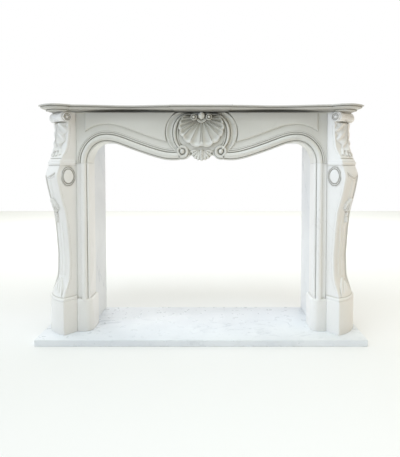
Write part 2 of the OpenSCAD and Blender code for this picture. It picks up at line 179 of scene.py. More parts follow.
def union(name, shells, keep_inside=None):
    """One closed mesh from overlapping closed shells, cut to what lies inside another shell."""
    scene = bpy.context.scene.collection
    group = bpy.data.collections.new(name + "_parts")
    scene.children.link(group)
    for shell in shells[1:]:
        scene.objects.unlink(shell)
        group.objects.link(shell)
    base = shells[0]
    join = base.modifiers.new("join", "BOOLEAN")
    join.solver = "MANIFOLD"
    join.operation = "UNION"
    join.operand_type = "COLLECTION"
    join.collection = group
    if keep_inside:
        trim = base.modifiers.new("trim", "BOOLEAN")
        trim.solver = "MANIFOLD"
        trim.operation = "INTERSECT"
        trim.object = keep_inside
    graph = bpy.context.evaluated_depsgraph_get()
    mesh = bpy.data.meshes.new_from_object(base.evaluated_get(graph))
    for shell in shells + ([keep_inside] if keep_inside else []):
        bpy.data.objects.remove(shell)
    bpy.data.collections.remove(group)
    obj = bpy.data.objects.new(name, mesh)
    scene.objects.link(obj)
    return obj


def mirrored(obj, name):
    """A copy on the other side of the middle plane."""
    mesh = obj.data.copy()
    mesh.name = name
    co = np.empty(len(mesh.vertices) * 3, np.float32)
    mesh.vertices.foreach_get("co", co)
    co[0::3] *= -1.0
    mesh.vertices.foreach_set("co", co)
    mesh.flip_normals()
    mesh.update()
    twin = bpy.data.objects.new(name, mesh)
    bpy.context.scene.collection.objects.link(twin)
    return twin


def piece(obj, node, material, crease=38.0):
    """Gives a finished mesh its stone and its place in the frame."""
    mesh = obj.data
    mesh.materials.clear()
    mesh.materials.append(material)
    mesh.polygons.foreach_set("use_smooth", [True] * len(mesh.polygons))
    mesh.set_sharp_from_angle(angle=math.radians(crease))
    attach(obj, "root")
    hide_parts(node)


# ---- Marble ----


def node_of(tree, kind, **values):
    node = tree.nodes.new(kind)
    for key, value in values.items():
        setattr(node, key, value)
    return node


def noise(tree, coords, scale, detail=4.0, distortion=0.0):
    node = tree.nodes.new("ShaderNodeTexNoise")
    node.inputs["Scale"].default_value = scale
    node.inputs["Detail"].default_value = detail
    node.inputs["Distortion"].default_value = distortion
    tree.links.new(coords, node.inputs["Vector"])
    return node.outputs["Fac"]


def ramp(tree, value, stops):
    node = tree.nodes.new("ShaderNodeValToRGB")
    elements = node.color_ramp.elements
    while len(elements) < len(stops):
        elements.new(0.5)
    for element, (place, colour) in zip(elements, stops):
        element.position = place
        element.color = (*colour, 1.0)
    tree.links.new(value, node.inputs["Fac"])
    return node.outputs["Color"]


FLECK = (0.24, 0.24, 0.25)
# Sockets of a colour Mix node, which go by number
MIX_BELOW = 6
MIX_ABOVE = 7
MIX_RESULT = 2


def grey(level):
    return (level, level, level)


def tint(tree, below, above, factor):
    """Lays one colour over another."""
    node = node_of(tree, "ShaderNodeMix", data_type="RGBA", blend_type="MIX")
    tree.links.new(factor, node.inputs["Factor"])
    tree.links.new(below, node.inputs[MIX_BELOW])
    if isinstance(above, tuple):
        node.inputs[MIX_ABOVE].default_value = (*above, 1.0)
    else:
        tree.links.new(above, node.inputs[MIX_ABOVE])
    return node.outputs[MIX_RESULT]


def times(tree, below, above):
    """One colour multiplied by another."""
    node = node_of(tree, "ShaderNodeMix", data_type="RGBA", blend_type="MULTIPLY")
    node.inputs["Factor"].default_value = 1.0
    tree.links.new(below, node.inputs[MIX_BELOW])
    tree.links.new(above, node.inputs[MIX_ABOVE])
    return node.outputs[MIX_RESULT]


def stretched(tree, stretch, turn):
    """Object coordinates, turned and stretched, for veins that run one way."""
    coords = tree.nodes.new("ShaderNodeTexCoord").outputs["Object"]
    mapping = tree.nodes.new("ShaderNodeMapping")
    mapping.inputs["Scale"].default_value = stretch
    mapping.inputs["Rotation"].default_value = turn
    tree.links.new(coords, mapping.inputs["Vector"])
    return mapping.outputs["Vector"]


def veins(tree, along, width):
    """Share of vein: thin lines where a distorted noise crosses its middle, in patches."""
    stops = [(0.5 - width, grey(0.0)), (0.5, grey(1.0)), (0.5 + width, grey(0.0))]
    lines = ramp(tree, noise(tree, along, 4.5, 7.0, 1.1), stops)
    patches = ramp(tree, noise(tree, along, 2.3, 3.0), [(0.46, grey(0.0)), (0.66, grey(1.0))])
    plain = ramp(tree, patches, [(0.0, grey(1.0)), (1.0, grey(0.0))])
    return tint(tree, lines, grey(0.0), plain)


def flecks(tree, along, strength):
    """Share of dark flecks scattered through the stone."""
    dots = tree.nodes.new("ShaderNodeTexVoronoi")
    dots.inputs["Scale"].default_value = 46.0
    tree.links.new(along, dots.inputs["Vector"])
    return ramp(tree, dots.outputs["Distance"], [(0.035, grey(strength)), (0.07, grey(0.0))])


def painted_hollow_shade(tree):
    """Painted shade: grey of the hollows, where the carving shades itself."""
    hollows = node_of(tree, "ShaderNodeAmbientOcclusion", samples=8, only_local=True)
    hollows.inputs["Distance"].default_value = 0.016
    return ramp(tree, hollows.outputs["AO"], [(0.30, (0.60, 0.59, 0.55)), (0.88, grey(1.0))])


def painted_shelf_shadow(tree, coords, share):
    """Painted shelf shadow: white up to 0.8 m from the floor, and greyer from there to 1 m."""
    split = tree.nodes.new("ShaderNodeSeparateXYZ")
    tree.links.new(coords, split.inputs[0])
    top = (share, share, share * 0.97)
    return ramp(tree, split.outputs["Z"], [(0.80, grey(1.0)), (1.0, top)])


def honed(tree, shader, coords, rough):
    """Honed surface: uneven sheen and a fine grain."""
    stops = [(0.3, grey(rough - 0.05)), (0.7, grey(rough + 0.07))]
    tree.links.new(ramp(tree, noise(tree, coords, 28.0, 3.0), stops), shader.inputs["Roughness"])
    bump = tree.nodes.new("ShaderNodeBump")
    bump.inputs["Strength"].default_value = 0.12
    bump.inputs["Distance"].default_value = 0.0012
    tree.links.new(noise(tree, coords, 90.0, 5.0), bump.inputs["Height"])
    tree.links.new(bump.outputs["Normal"], shader.inputs["Normal"])
    shader.inputs["Specular IOR Level"].default_value = 0.35


def marble(name, colours, vein_width, vein_stretch, vein_turn, speck, rough, shelf_shadow_share=1.0):
    """Three-colour marble (pale, cloud, vein) with flecks, painted hollow shade and any painted shelf
    shadow.
    """
    pale, cloud, vein = colours
    material = bpy.data.materials.new(name)
    material.use_nodes = True
    tree = material.node_tree
    shader = tree.nodes["Principled BSDF"]
    plain = tree.nodes.new("ShaderNodeTexCoord").outputs["Object"]
    along = stretched(tree, vein_stretch, vein_turn)
    stone = ramp(tree, noise(tree, plain, 3.2, 5.0, 0.6), [(0.36, cloud), (0.62, pale)])
    stone = tint(tree, stone, vein, veins(tree, along, vein_width))
    stone = tint(tree, stone, FLECK, flecks(tree, along, speck))
    # Painted shade in the carving's hollows, from an ambient occlusion node
    stone = times(tree, stone, painted_hollow_shade(tree))
    # Painted shadow of the shelf, greyer towards the top of the piece
    if shelf_shadow_share < 1.0:
        stone = times(tree, stone, painted_shelf_shadow(tree, plain, shelf_shadow_share))
    tree.links.new(stone, shader.inputs["Base Color"])
    honed(tree, shader, plain, rough)
    return material


def carved_marble(name, tone, shelf_shadow_share=1.0):
    """The carved pieces' marble, multiplied by a tone given for each piece; the shelf's darker tone is
    painted shade.
    """
    pale = tuple(channel * t for channel, t in zip((0.87, 0.86, 0.835), tone))
    cloud = tuple(channel * 0.96 for channel in pale)
    vein = tuple(channel * 0.91 for channel in pale)
    colours = (pale, cloud, vein)
    return marble(name, colours, 0.010, (1.0, 1.0, 0.5), (0.3, 0.5, 0.2), 0.12, 0.36, shelf_shadow_share)


# ---- Plain slabs ----


def slab(name, low, high, arris=1.2):
    """Box with eased edges, as a loft of rounded plan rings."""
    rings = []
    levels = ((arris, low[2]), (0.0, low[2] + arris), (0.0, high[2] - arris), (arris, high[2]))
    for inset, z in levels:
        x0, x1 = low[0] + inset, high[0] - inset
        y0, y1 = low[1] + inset, high[1] - inset
        ring = [
            (x0 + arris, y0), (x1 - arris, y0), (x1, y0 + arris), (x1, y1 - arris),
            (x1 - arris, y1), (x0 + arris, y1), (x0, y1 - arris), (x0, y0 + arris),
        ]
        rings.append([(x, y, z) for x, y in ring])
    return loft(name, rings)


def slab_of_node(node, material, arris=1.2):
    low, high = node_box(node)
    obj = slab("stone_" + node, low, high, arris)
    piece(obj, node, material)


CONSOLE_BACK = 0.7
RETURN_IN = 663.3
RETURN_OUT = 693.3
RETURN_FOOT = 8.5


def right_return_shell(name):
    """Plain return with a foot as high as the plinths."""
    foot = RETURN_FOOT
    levels = ((LEG_BOTTOM, foot - 1), (LEG_BOTTOM + 1, foot), (PLINTH_TOP - 4, foot))
    levels += ((PLINTH_TOP, foot - 3), (PLINTH_TOP + 1, 0.0), (LEG_TOP, 0.0))
    rings = []
    for z, out in levels:
        plan = [(RETURN_IN, CONSOLE_BACK), (RETURN_OUT + out, CONSOLE_BACK)]
        plan += [(RETURN_OUT + out, WALL_Y), (RETURN_IN, WALL_Y)]
        rings.append([(x, y, z) for x, y in plan])
    return loft(name, rings)


# ---- Roll moulding, [distance from the roll's inner edge, height off the ground] ----


def fillet_and_roll():
    fillet = [
        [-FILLET_WIDE, -3.0], [-FILLET_WIDE, 3.8], [-8.4, 4.8], [-7.4, 5.0],
        [-2.4, 5.0], [-1.8, 4.4], [-1.2, -0.6],
    ]
    half = 14.0
    turn = np.linspace(0.10, 3.04, 27)
    roll = [[half - half * math.cos(a), 1.0 + (ROLL_OUT - 1.0) * math.sin(a) ** 0.85] for a in turn]
    return fillet + roll


def beads_and_cove():
    turn = np.linspace(0.0, math.pi, 9)
    quirk = [[28.4, 0.2], [29.4, 1.6]]
    first = [[33.4 - 3.8 * math.cos(a), 4.2 + 3.8 * math.sin(a)] for a in turn]
    second = [[41.6 - 3.2 * math.cos(a), 3.4 + 2.9 * math.sin(a)] for a in turn]
    share = np.linspace(0.0, 1.0, 10)
    cove = [[lerp(46.0, 74.0, t), 1.0 + 2.6 * (1 - t) ** 2 - 1.4 * t] for t in share]
    return quirk + first + [[37.8, 1.6]] + second + [[45.2, 2.8]] + cove + [[75.0, -3.0]]


# ---- Jambs ----


RUNNING_JOINT = 0.2
PLINTH_FRONT = GROUND_Y - 14.0
PLINTH_ROUND = 34.0


def jamb_shaft(name):
    """Fillet and roll with a shallow cove beside them, straight from plinth to lintel."""
    share = np.linspace(0.0, 1.0, 12)
    cove = [[lerp(28.8, 47.6, t), 1.4 + 2.0 * (2 * t - 1) ** 2] for t in share]
    front = [(JAMB_LINE + d, GROUND_Y - h) for d, h in fillet_and_roll()[1:] + cove]
    joint = JOINT_X - RUNNING_JOINT
    ring = [(JAMB_IN, JAMB_BACK)] + front
    ring += [(JOINT_X - 2.0, GROUND_Y + 1.0), (joint, GROUND_Y + 4.0), (joint, JAMB_BACK)]
    levels = (PLINTH_TOP - 8.0, 400.0, 620.0, SPRING_Z - 0.4)
    return loft(name, [[(x, y, z) for x, y in ring] for z in levels])


def jamb_plinth(name):
    """Plinth with a rounded inner corner and a moulded top."""
    joint = JOINT_X - RUNNING_JOINT
    low, top = LEG_BOTTOM, PLINTH_TOP
    levels = ((low, 1.2), (low + 1.2, 0.0), (top - 8.0, 0.0), (top - 6.6, 0.5))
    levels += ((top - 3.0, 3.0), (top - 0.6, 3.6), (top, 4.4))
    rings = []
    for z, inset in levels:
        left = PLINTH_IN + inset
        front = PLINTH_FRONT + inset
        middle = (left + PLINTH_ROUND, front + PLINTH_ROUND)
        ring = [(left, JAMB_BACK)]
        for a in np.radians(np.linspace(0.0, 90.0, 25)):
            ring.append((middle[0] - PLINTH_ROUND * math.cos(a), middle[1] - PLINTH_ROUND * math.sin(a)))
        ring += [(JOINT_X - 4.0, front), (JOINT_X - 1.2, front + 1.2), (joint, front + 4.0)]
        ring.append((joint, JAMB_BACK))
        rings.append([(x, y, z) for x, y in ring])
    return loft(name, rings)


# ---- Lintel ----

# Lower edge: a quarter arch up from each jamb, then a wave down to the dip beside the cartouche
PEAK_X = JAMB_LINE - 96.0
PEAK_Z = LEG_TOP - 131.0
DIP_X = 138.0
DIP_Z = LEG_TOP - 217.0
WAVE_MID = (PEAK_Z + DIP_Z) / 2
WAVE_AMP = (PEAK_Z - DIP_Z) / 2
WAVE_END = 1.1
VOLUTE = (91.5, LEG_TOP - 183.5)
VOLUTE_R = 37.0
PANEL_IN = 171.0
PANEL_OUT = JOINT_X - 45.0
PANEL_DROP = 76.0


def wave_point(u):
    turn = np.pi * (u + 0.03 * np.sin(np.pi * u) + 0.03 * np.sin(2 * np.pi * u))
    return np.stack([lerp(PEAK_X, DIP_X, u), WAVE_MID + WAVE_AMP * np.cos(turn)], -1)


def arch_path(arch_steps=70, wave_steps=110):
    a = np.linspace(0.0, np.pi / 2, arch_steps)
    across = PEAK_X + (JAMB_LINE - PEAK_X) * np.cos(a)
    arch = np.stack([across, SPRING_Z + (PEAK_Z - SPRING_Z) * np.sin(a)], -1)
    return np.concatenate([arch, wave_point(np.linspace(0.0, WAVE_END, wave_steps)[1:])])


def path_normals(path, first=None):
    run = np.gradient(path, axis=0)
    run /= np.linalg.norm(run, axis=1)[:, None]
    normals = np.stack([run[:, 1], -run[:, 0]], -1)
    if first is not None:
        normals[0] = first
    return normals


def sweep(name, path, profile, first=None, width=None, height=None, sunk=4.0):
    """Moulding along a path of the front, its width and height free to change along the way."""
    normals = path_normals(path, first)
    shape = np.asarray([[profile[0][0], -sunk]] + profile + [[profile[-1][0], -sunk]])
    wide = np.ones(len(path)) if width is None else width
    high = np.ones(len(path)) if height is None else height
    rings = []
    for point, normal, w, h in zip(path, normals, wide, high):
        lift = np.where(shape[:, 1] > 0, shape[:, 1] * h, shape[:, 1])
        x = point[0] + normal[0] * shape[:, 0] * w
        z = point[1] + normal[1] * shape[:, 0] * w
        rings.append(np.stack([x, GROUND_Y - lift, z], -1))
    return loft(name, rings)


def front_disc(
    name, centre, radii, heights, spiral=0.0, start=0.0, count=96, stretch=(1.0, 1.0)
):
    """Turned boss on the front. A spiral makes its radii shrink round the turn from a start angle."""
    phase = np.arange(count) / count
    angle = start + 2 * np.pi * phase
    rings = []
    for radius, high in zip([radii[0]] + list(radii), [-5.0] + list(heights)):
        r = radius * (1.0 + spiral * (0.5 - phase))
        x = centre[0] + r * np.cos(angle) * stretch[0]
        z = centre[1] + r * np.sin(angle) * stretch[1]
        rings.append(np.stack([x, np.full(count, GROUND_Y - high), z], -1))
    return loft(name, rings)


def lintel_block(name):
    """Flat block behind the carving, its lower edge following the arch, volutes and pendant."""
    path = arch_path()
    under_roll = -8.0
    lower = path + path_normals(path, (1.0, 0.0)) * under_roll
    lower = lower[lower[:, 0] > 112.0]
    a = np.linspace(-np.pi / 2 + 0.5, -np.pi / 2 - 0.95, 14)
    curl = np.stack([VOLUTE[0] + VOLUTE_R * np.cos(a), VOLUTE[1] + VOLUTE_R * np.sin(a)], -1)
    b = np.linspace(0.1, np.pi / 2, 20)
    hanging = np.stack([46.0 * np.cos(b), 881.0 - 28.0 * np.sin(b)], -1)
    half = np.concatenate([[[JOINT_X, LEG_TOP], [JOINT_X, SPRING_Z]], lower, curl, hanging])
    whole = np.concatenate([half, half[::-1][1:] * [-1.0, 1.0]])
    rings = [[(x, y, z) for x, z in whole] for y in (JAMB_BACK, GROUND_Y)]
    return loft(name, rings)


def panel_inner_x(z):
    """Inner edge of a frieze panel, an ellipse round the cartouche."""
    return PANEL_IN * np.sqrt(np.clip(1.0 - ((z - 978.0) / 144.0) ** 2, 0.0, 1.0))


def crowded_ends(count, rim, length):
    """Shares from 0 to 1, close together over a rim's width at both ends."""
    inner = np.linspace(rim, length - rim, count)
    edge = rim * (1 - np.cos(np.linspace(0.0, np.pi / 2, 9)))[:-1]
    return np.concatenate([edge, inner, (length - edge)[::-1]]) / length


def frieze_panel(name):
    """Raised panel with a rounded rim, its lower edge parallel to the roll."""
    path = arch_path()
    lower = path + path_normals(path, (1.0, 0.0)) * PANEL_DROP
    order = np.argsort(lower[:, 0])
    knee = lower[order][(lower[order, 0] > 120.0) & (lower[order, 0] < 560.0)]

    def low_edge(x):
        return np.interp(x, knee[:, 0], knee[:, 1])

    rim = 7.0
    u = crowded_ends(70, 8.0, 390.0)[:, None]
    v = crowded_ends(12, 8.0, 100.0)[None, :]
    x = lerp(PANEL_IN, PANEL_OUT, u) + 0.0 * v
    top = LEG_TOP + 8.0
    for _ in range(6):
        z = lerp(low_edge(x), top, v)
        x = lerp(panel_inner_x(np.minimum(z, LEG_TOP)), PANEL_OUT, u)
    run = np.linspace(120, 560, 441)
    lean = np.cos(np.arctan(np.interp(x, run, np.gradient(low_edge(run)))))
    from_inner = x - panel_inner_x(np.minimum(z, LEG_TOP))
    near = np.minimum(np.minimum((z - low_edge(x)) * lean, PANEL_OUT - x), from_inner)
    high = rim * hump(np.clip(near, 0.0, rim), rim, rim) - 1.0 * (near < 0.3)
    return panel_solid(name, np.stack([x, GROUND_Y - high, z], -1), GROUND_Y + 3.0)


SHELL_HINGE_Z = LEG_TOP - 28.0
SHELL_FALL = 2.4
# Angles of the ridges between lobes, from the middle outwards
SHELL_RIDGES = [0.0, 3.4, 25.0, 45.0, 61.0, 75.0, 87.0, 97.0]


def shell_angles(per_lobe=13):
    """Angles across the fan, with each one's place inside its lobe."""
    half_angles = []
    half_place = []
    for low, high in zip(SHELL_RIDGES[:-1], SHELL_RIDGES[1:]):
        steps = per_lobe if low > 0 else 3
        share = np.linspace(0.0, 1.0, steps + 1)[:-1]
        half_angles += list(lerp(low, high, share))
        half_place += list(share if low > 0 else share * 0.0)
    half_angles.append(SHELL_RIDGES[-1])
    half_place.append(0.0)
    angles = np.array([-a for a in half_angles[::-1]][:-1] + half_angles)
    place = np.array(half_place[::-1][:-1] + half_place)
    return np.radians(angles), place


def shell(name):
    """Scallop shell: lobes fanned round the hinge, flutes, ribs and a scalloped, undercut rim."""
    angle, place = shell_angles()
    reach = 139.0 - 53.0 * (np.abs(np.degrees(angle)) / SHELL_RIDGES[-1]) ** SHELL_FALL
    scallop = np.sin(np.pi * place)
    rim_r = reach * (0.945 + 0.055 * scallop**0.7)
    t = np.concatenate([np.linspace(0.0, 0.86, 30), np.linspace(0.87, 1.0, 12)])
    depth = np.sin(np.pi * np.clip(place, 0.0, 1.0)) ** 0.75
    rings = []
    for a, r_end, dip in zip(angle, rim_r, depth):
        r = lerp(10.0, r_end, t)
        body = 13.0 + 13.5 * np.sin(np.pi / 2 * t**0.9)
        flute = (2.0 + 10.5 * t**0.8) * dip * (1.0 - 0.45 * smooth(t, 0.8, 1.0))
        lip = 4.0 * smooth(t, 0.80, 0.93) - 6.0 * smooth(t, 0.955, 1.0) ** 2
        high = body - flute + lip
        back_r = np.array([0.975, 0.945, 0.93]) * r_end
        back_h = np.array([high[-1] - 5.0, 8.0, -4.0])
        r = np.concatenate([r, back_r, [10.0]])
        high = np.concatenate([high, back_h, [-4.0]])
        x = r * math.sin(a)
        z = SHELL_HINGE_Z - r * math.cos(a)
        rings.append(np.stack([x, GROUND_Y - high, z], -1))
    return loft(name, rings)


def shell_rib(name, degrees, length):
    """Thin double rib between two lobes."""
    a = math.radians(degrees)
    along = np.linspace(16.0, length, 30)
    path = np.stack([along * math.sin(a), SHELL_HINGE_Z - along * math.cos(a)], -1)
    t = np.linspace(0.0, 1.0, 30)
    crest = 13.0 + 13.5 * np.sin(np.pi / 2 * t**0.9) + 2.6
    profile = [
        [-3.2, 0.8], [-2.5, 1.0], [-1.4, 1.0], [-0.7, 0.88],
        [0.7, 0.88], [1.4, 1.0], [2.5, 1.0], [3.2, 0.8],
    ]
    return sweep(name, path, profile, width=lerp(0.55, 1.0, t), height=crest)


# Ridges round the shell, from the shell outwards: [distance, height]
FRAME_PROFILE = [
    [-22, 9], [-20, 12.5], [-17, 14], [-14, 12.5], [-12.4, 6], [-11, 6], [-9.6, 13],
    [-6, 18.5], [-2, 20], [1.5, 18], [4, 12.5], [4.8, 6], [6.2, 6.5], [8.5, 10.5],
    [10.8, 8], [12, 4.5], [16, 2.0], [22, 0.8], [28, 3.6], [31, 5.5], [32.5, 7.5],
    [35.5, 8], [38, 7], [39.5, 3.5], [41, 0.5],
]


def frame_path():
    """Line of the ridge round the shell, from the lower volute to the small scroll at the top."""
    knots = np.array([
        [97, 900], [112, 918], [125, 944], [130, 978], [125, 1013],
        [110, 1041], [87, 1061], [60, 1068], [42, 1066],
    ], float)
    lengths = np.linalg.norm(np.diff(knots, axis=0), axis=1)
    along = np.concatenate([[0], np.cumsum(lengths)])
    s = np.linspace(0.0, along[-1], 110)
    x = spline(np.stack([along, knots[:, 0]], -1), s)
    z = spline(np.stack([along, knots[:, 1]], -1), s)
    return np.stack([x, z], -1), s / along[-1]


def shell_frame(name):
    path, t = frame_path()
    width = spline([[0.0, 0.55], [0.2, 0.85], [0.4, 1.0], [0.6, 0.95], [0.8, 0.6], [1.0, 0.35]], t)
    height = spline([[0.0, 0.9], [0.3, 1.0], [0.7, 1.0], [1.0, 0.8]], t)
    return sweep(name, path, FRAME_PROFILE, width=width, height=height)


def pendant(name):
    """Leaves fanned below the shell."""
    spread = 86.0
    lobes = 9.0
    hinge_z = 904.0
    degrees = np.linspace(-spread, spread, 145)
    lobe = (degrees + spread) / (2 * spread) * lobes
    scallop = np.abs(np.sin(np.pi * (lobe - np.floor(lobe))))
    reach = 57.0 + 1.0 * (np.abs(degrees) / spread) ** 1.6
    rim_r = reach * (0.86 + 0.14 * scallop**0.8)
    t = np.linspace(0.0, 1.0, 26)
    rings = []
    for a, r_end, dip in zip(np.radians(degrees), rim_r, scallop):
        r = lerp(8.0, r_end, t)
        leaf = (5.0 * t**0.6) * (dip - 0.6)
        high = 9.0 + 4.5 * np.sin(np.pi * t) + leaf - 7.0 * smooth(t, 0.9, 1.0)
        r = np.concatenate([r, [r_end * 0.97, 8.0]])
        high = np.concatenate([high, [-4.0, -4.0]])
        rings.append(np.stack([r * math.sin(a), GROUND_Y - high, hinge_z - r * math.cos(a)], -1))
    return loft(name, rings)


def ridge_arc(name, centre, radius, low, high, half, top, steps=40):
    """Round ridge along an arc of the front."""
    a = np.radians(np.linspace(low, high, steps))
    path = np.stack([centre[0] + radius * np.cos(a), centre[1] + radius * np.sin(a)], -1)
    bend = np.linspace(0.0, math.pi, 9)
    rise = half * 0.8
    profile = [[-half * math.cos(b), max(0.3, top - rise + rise * math.sin(b))] for b in bend]
    return sweep(name, path, profile)


def bar(name, p0, p1, half0, half1, top0, top1, steps=14):
    """Rounded tapering bar between two points of the front."""
    t = np.linspace(0.0, 1.0, steps)
    path = np.stack([lerp(p0[0], p1[0], t), lerp(p0[1], p1[1], t)], -1)
    bend = np.linspace(0.0, math.pi, 11)
    profile = [[-math.cos(b), 0.62 + 0.38 * math.sin(b)] for b in bend]
    ends = np.sqrt(np.clip(1.0 - (2 * t - 1) ** 8, 0.04, 1.0))
    width = lerp(half0, half1, t) * ends
    height = lerp(top0, top1, t) * ends
    return sweep(name, path, profile, width=width, height=height)


def volute(name, side):
    """Scroll where the roll ends: boss, ring and outer fillet."""
    fillet = [[VOLUTE_R, 2.0], [36.6, 4.4], [35.6, 5.2], [31.6, 5.2], [30.6, 1.0]]
    ring = [[29.6, 7.5], [28.4, 13.5], [24.0, 18.0], [19.0, 16.5], [14.6, 12.0], [13.2, 6.0]]
    boss = [[11.8, 9.0], [10.6, 16.5], [8.6, 20.5], [5.6, 23.3], [2.8, 24.6], [0.6, 25.0]]
    radii, heights = zip(*(fillet + ring + boss))
    start = -1.15 if side > 0 else math.pi + 1.15
    spiral = -0.18 if side > 0 else 0.18
    return front_disc(name, (side * VOLUTE[0], VOLUTE[1]), radii, heights, spiral, start)


def small_scroll(name, side):
    """Ringed scroll beside the bud, where the frame ends."""
    radii = [15.0, 14.6, 13.2, 11.4, 9.6, 8.6, 7.4, 5.6, 3.4, 1.4, 0.4]
    heights = [8.0, 25.5, 31.6, 33.0, 28.0, 22.5, 28.0, 33.5, 36.0, 37.0, 37.2]
    return front_disc(name, (side * 36.0, 1052.0), radii, heights, 0.1 * side, 0.6)


def bud(name):
    """Bud at the top of the shell, with lobes."""
    half_x, half_z, middle_z = 18.0, 19.0, 1059.0
    count = 72
    a = 2 * np.pi * np.arange(count) / count
    lobed = 1.0 - 0.09 * np.abs(np.sin(2.0 * (a - np.pi / 2))) ** 0.8
    back = np.full(count, GROUND_Y + 4.0)
    x = half_x * np.cos(a) * lobed
    rings = [np.stack([x, back, middle_z + half_z * np.sin(a) * lobed], -1)]
    for t in np.linspace(0.0, 0.985, 16):
        r = math.cos(t * math.pi / 2) * lobed
        high = 14.0 + 20.0 * math.sin(t * math.pi / 2)
        x = half_x * np.cos(a) * r
        z = middle_z + half_z * np.sin(a) * r
        rings.append(np.stack([x, np.full(count, GROUND_Y - high), z], -1))
    return loft(name, rings)


def lintel_trim(name):
    """What the lintel may fill: its own length and height, eased where it meets the consoles."""
    end = JOINT_X - 0.1
    eased = JOINT_X - 2.2
    half = [(eased, -140.0), (eased, GROUND_Y - 0.5), (end, GROUND_Y + 3.0), (end, JAMB_BACK)]
    plan = [(-x, y) for x, y in half[::-1]] + half
    return loft(name, [[(x, y, z) for x, y in plan] for z in (SPRING_Z + 0.4, LEG_TOP)])


def cushion(name):
    """Low swelling of the ground behind the shell."""
    radii = [1.0, 0.985, 0.95, 0.9, 0.8, 0.5]
    heights = [2.0, 6.0, 8.5, 9.5, 10.0, 10.0]
    return front_disc(name, (0.0, 976.0), radii, heights, stretch=(118.0, 92.0))


def drill_dot(name, z):
    return front_disc(name, (0.0, z), [3.4, 3.0, 1.8, 0.4], [16.0, 19.0, 20.6, 21.0], count=24)


def paired_ornaments():
    """What the cartouche has once on each side."""
    shells = []
    for side in (-1, 1):
        shells.append(volute(f"volute_{side}", side))
        shells.append(small_scroll(f"small_scroll_{side}", side))
        low, high = (-60, 190) if side > 0 else (-10, 240)
        shells.append(ridge_arc(f"curl_{side}", (side * 33.0, 890.0), 9.0, low, high, 3.0, 15.0))
        leaf = ((side * 10, 896), (side * 20, 856))
        shells.append(bar(f"leaf_{side}", *leaf, 6.0, 4.0, 16.0, 12.0))
    return shells


def lintel_shells():
    """All the closed shells that make the lintel: block, moulding, panels and cartouche."""
    profile = fillet_and_roll() + beads_and_cove()
    shells = [lintel_block("lintel_block")]
    for right in (
        sweep("moulding", arch_path(), profile, first=(1.0, 0.0)),
        frieze_panel("frieze_panel"),
        shell_frame("frame_ridge"),
    ):
        shells += [right, mirrored(right, right.name + "_left")]
    shells.append(shell("shell"))
    for k, degrees in enumerate(SHELL_RIDGES[1:-1]):
        length = 128.0 - 50.0 * (degrees / SHELL_RIDGES[-1]) ** SHELL_FALL
        for side in (-1, 1):
            shells.append(shell_rib(f"rib_{k}_{side}", side * degrees, length))
    shells += paired_ornaments()
    shells.append(cushion("cushion"))
    shells.append(bud("bud"))
    shells.append(ridge_arc("collar", (0.0, 1052.0), 23.0, -160, -20, 2.6, 21.0))
    shells.append(ridge_arc("collar_inner", (0.0, 1052.0), 17.5, -160, -20, 2.2, 20.0))
    shells.append(bar("pendant_rib", (0.0, 906.0), (0.0, 852.0), 9.0, 7.0, 18.0, 15.0))
    for k in range(3):
        shells.append(drill_dot(f"bead_{k}", 893.0 - 10.0 * k))
    shells.append(pendant("pendant"))
    return shells


# ---- Consoles, in a plan frame with `out` along the front's normal and `side` along the front ----

SIDE_LEN = 65.0
FRONT_LEN = 151.0
CORNER = (round(JOINT_X + SIDE_LEN * DIAG, 3), -152.0)
BOW = 17.0
INSET = 9.0
BAND = (826.0, 864.0)
SCROLL_Z = 1053.0
SCROLL_R = 25.0
SCROLL_OUT = -32.0
# How far the front stands out, by height: [height, out]
SHAFT = [
    [206, -6], [242, -18], [286, -32], [356, -36], [406, -36],
    [593, -20], [680, 1], [742, 14], [780, 18], [826, 4],
]
NECK = [[864, -7], [888, -22], [914, -32], [974, -40], [1031, -40]]
BAND_OUT = [
    [826, 1], [828, 3.5], [832, 5.5], [838, 6], [842.5, 4.6], [844, 1.6], [845.5, 1.8],
    [849, 1.2], [853, -1.5], [856, -4.2], [857.2, -7], [858.6, -7.2], [859.6, -4.8], [864, -5.2],
]


def console_out(z):
    """How far the front edge stands out at a height."""
    torus = -4.0 + 4.0 * np.sin(np.pi * np.clip((z - PLINTH_TOP) / 15.0, 0.0, 1.0))
    scroll = SCROLL_OUT + np.sqrt(np.clip(SCROLL_R**2 - (z - SCROLL_Z) ** 2, 0.0, None))
    out = np.where(z <= PLINTH_TOP, 0.0, torus)
    out = np.where(z > 202.0, -7.0, out)
    out = np.where(z >= 206.0, spline(SHAFT, np.clip(z, 206, 826)), out)
    out = np.where(z >= BAND[0], spline(BAND_OUT, np.clip(z, *BAND)), out)
    out = np.where(z > BAND[1], spline(NECK, np.clip(z, 864, 1031)), out)
    return np.where(z >= 1031.0, scroll, out)


def console_inset(z):
    """How far the sides draw in at a height."""
    torus = 3.0 - 3.0 * np.sin(np.pi * np.clip((z - PLINTH_TOP) / 15.0, 0.0, 1.0))
    inset = np.where(z <= PLINTH_TOP, 0.0, torus)
    inset = np.where(z > 202.0, INSET, inset)
    band = INSET - 1.0 - spline(BAND_OUT, np.clip(z, *BAND)) * 0.75
    return np.where((z >= BAND[0]) & (z <= BAND[1]), np.clip(band, -0.5, INSET), inset)


def husks(x, z):
    """Bellflower and drops hanging on the knee."""
    a = np.abs(x)
    out = drop(a, z, (3, 664), 7, (20, 640), 8, 8.0)
    out = np.maximum(out, drop(a, z, (20, 640), 8, (26, 622), 4, 7.0))
    out = np.maximum(out, drop(a, z, (0, 656), 8, (0, 612), 5, 10.0))
    out = np.maximum(out, drop(a, z, (9, 648), 6, (13, 612), 4, 7.5))
    out = np.maximum(out, drop(a, z, (0, 598), 7, (0, 588), 6, 7.0))
    out = np.maximum(out, drop(a, z, (0, 578), 8, (0, 556), 2.5, 7.5))
    return out


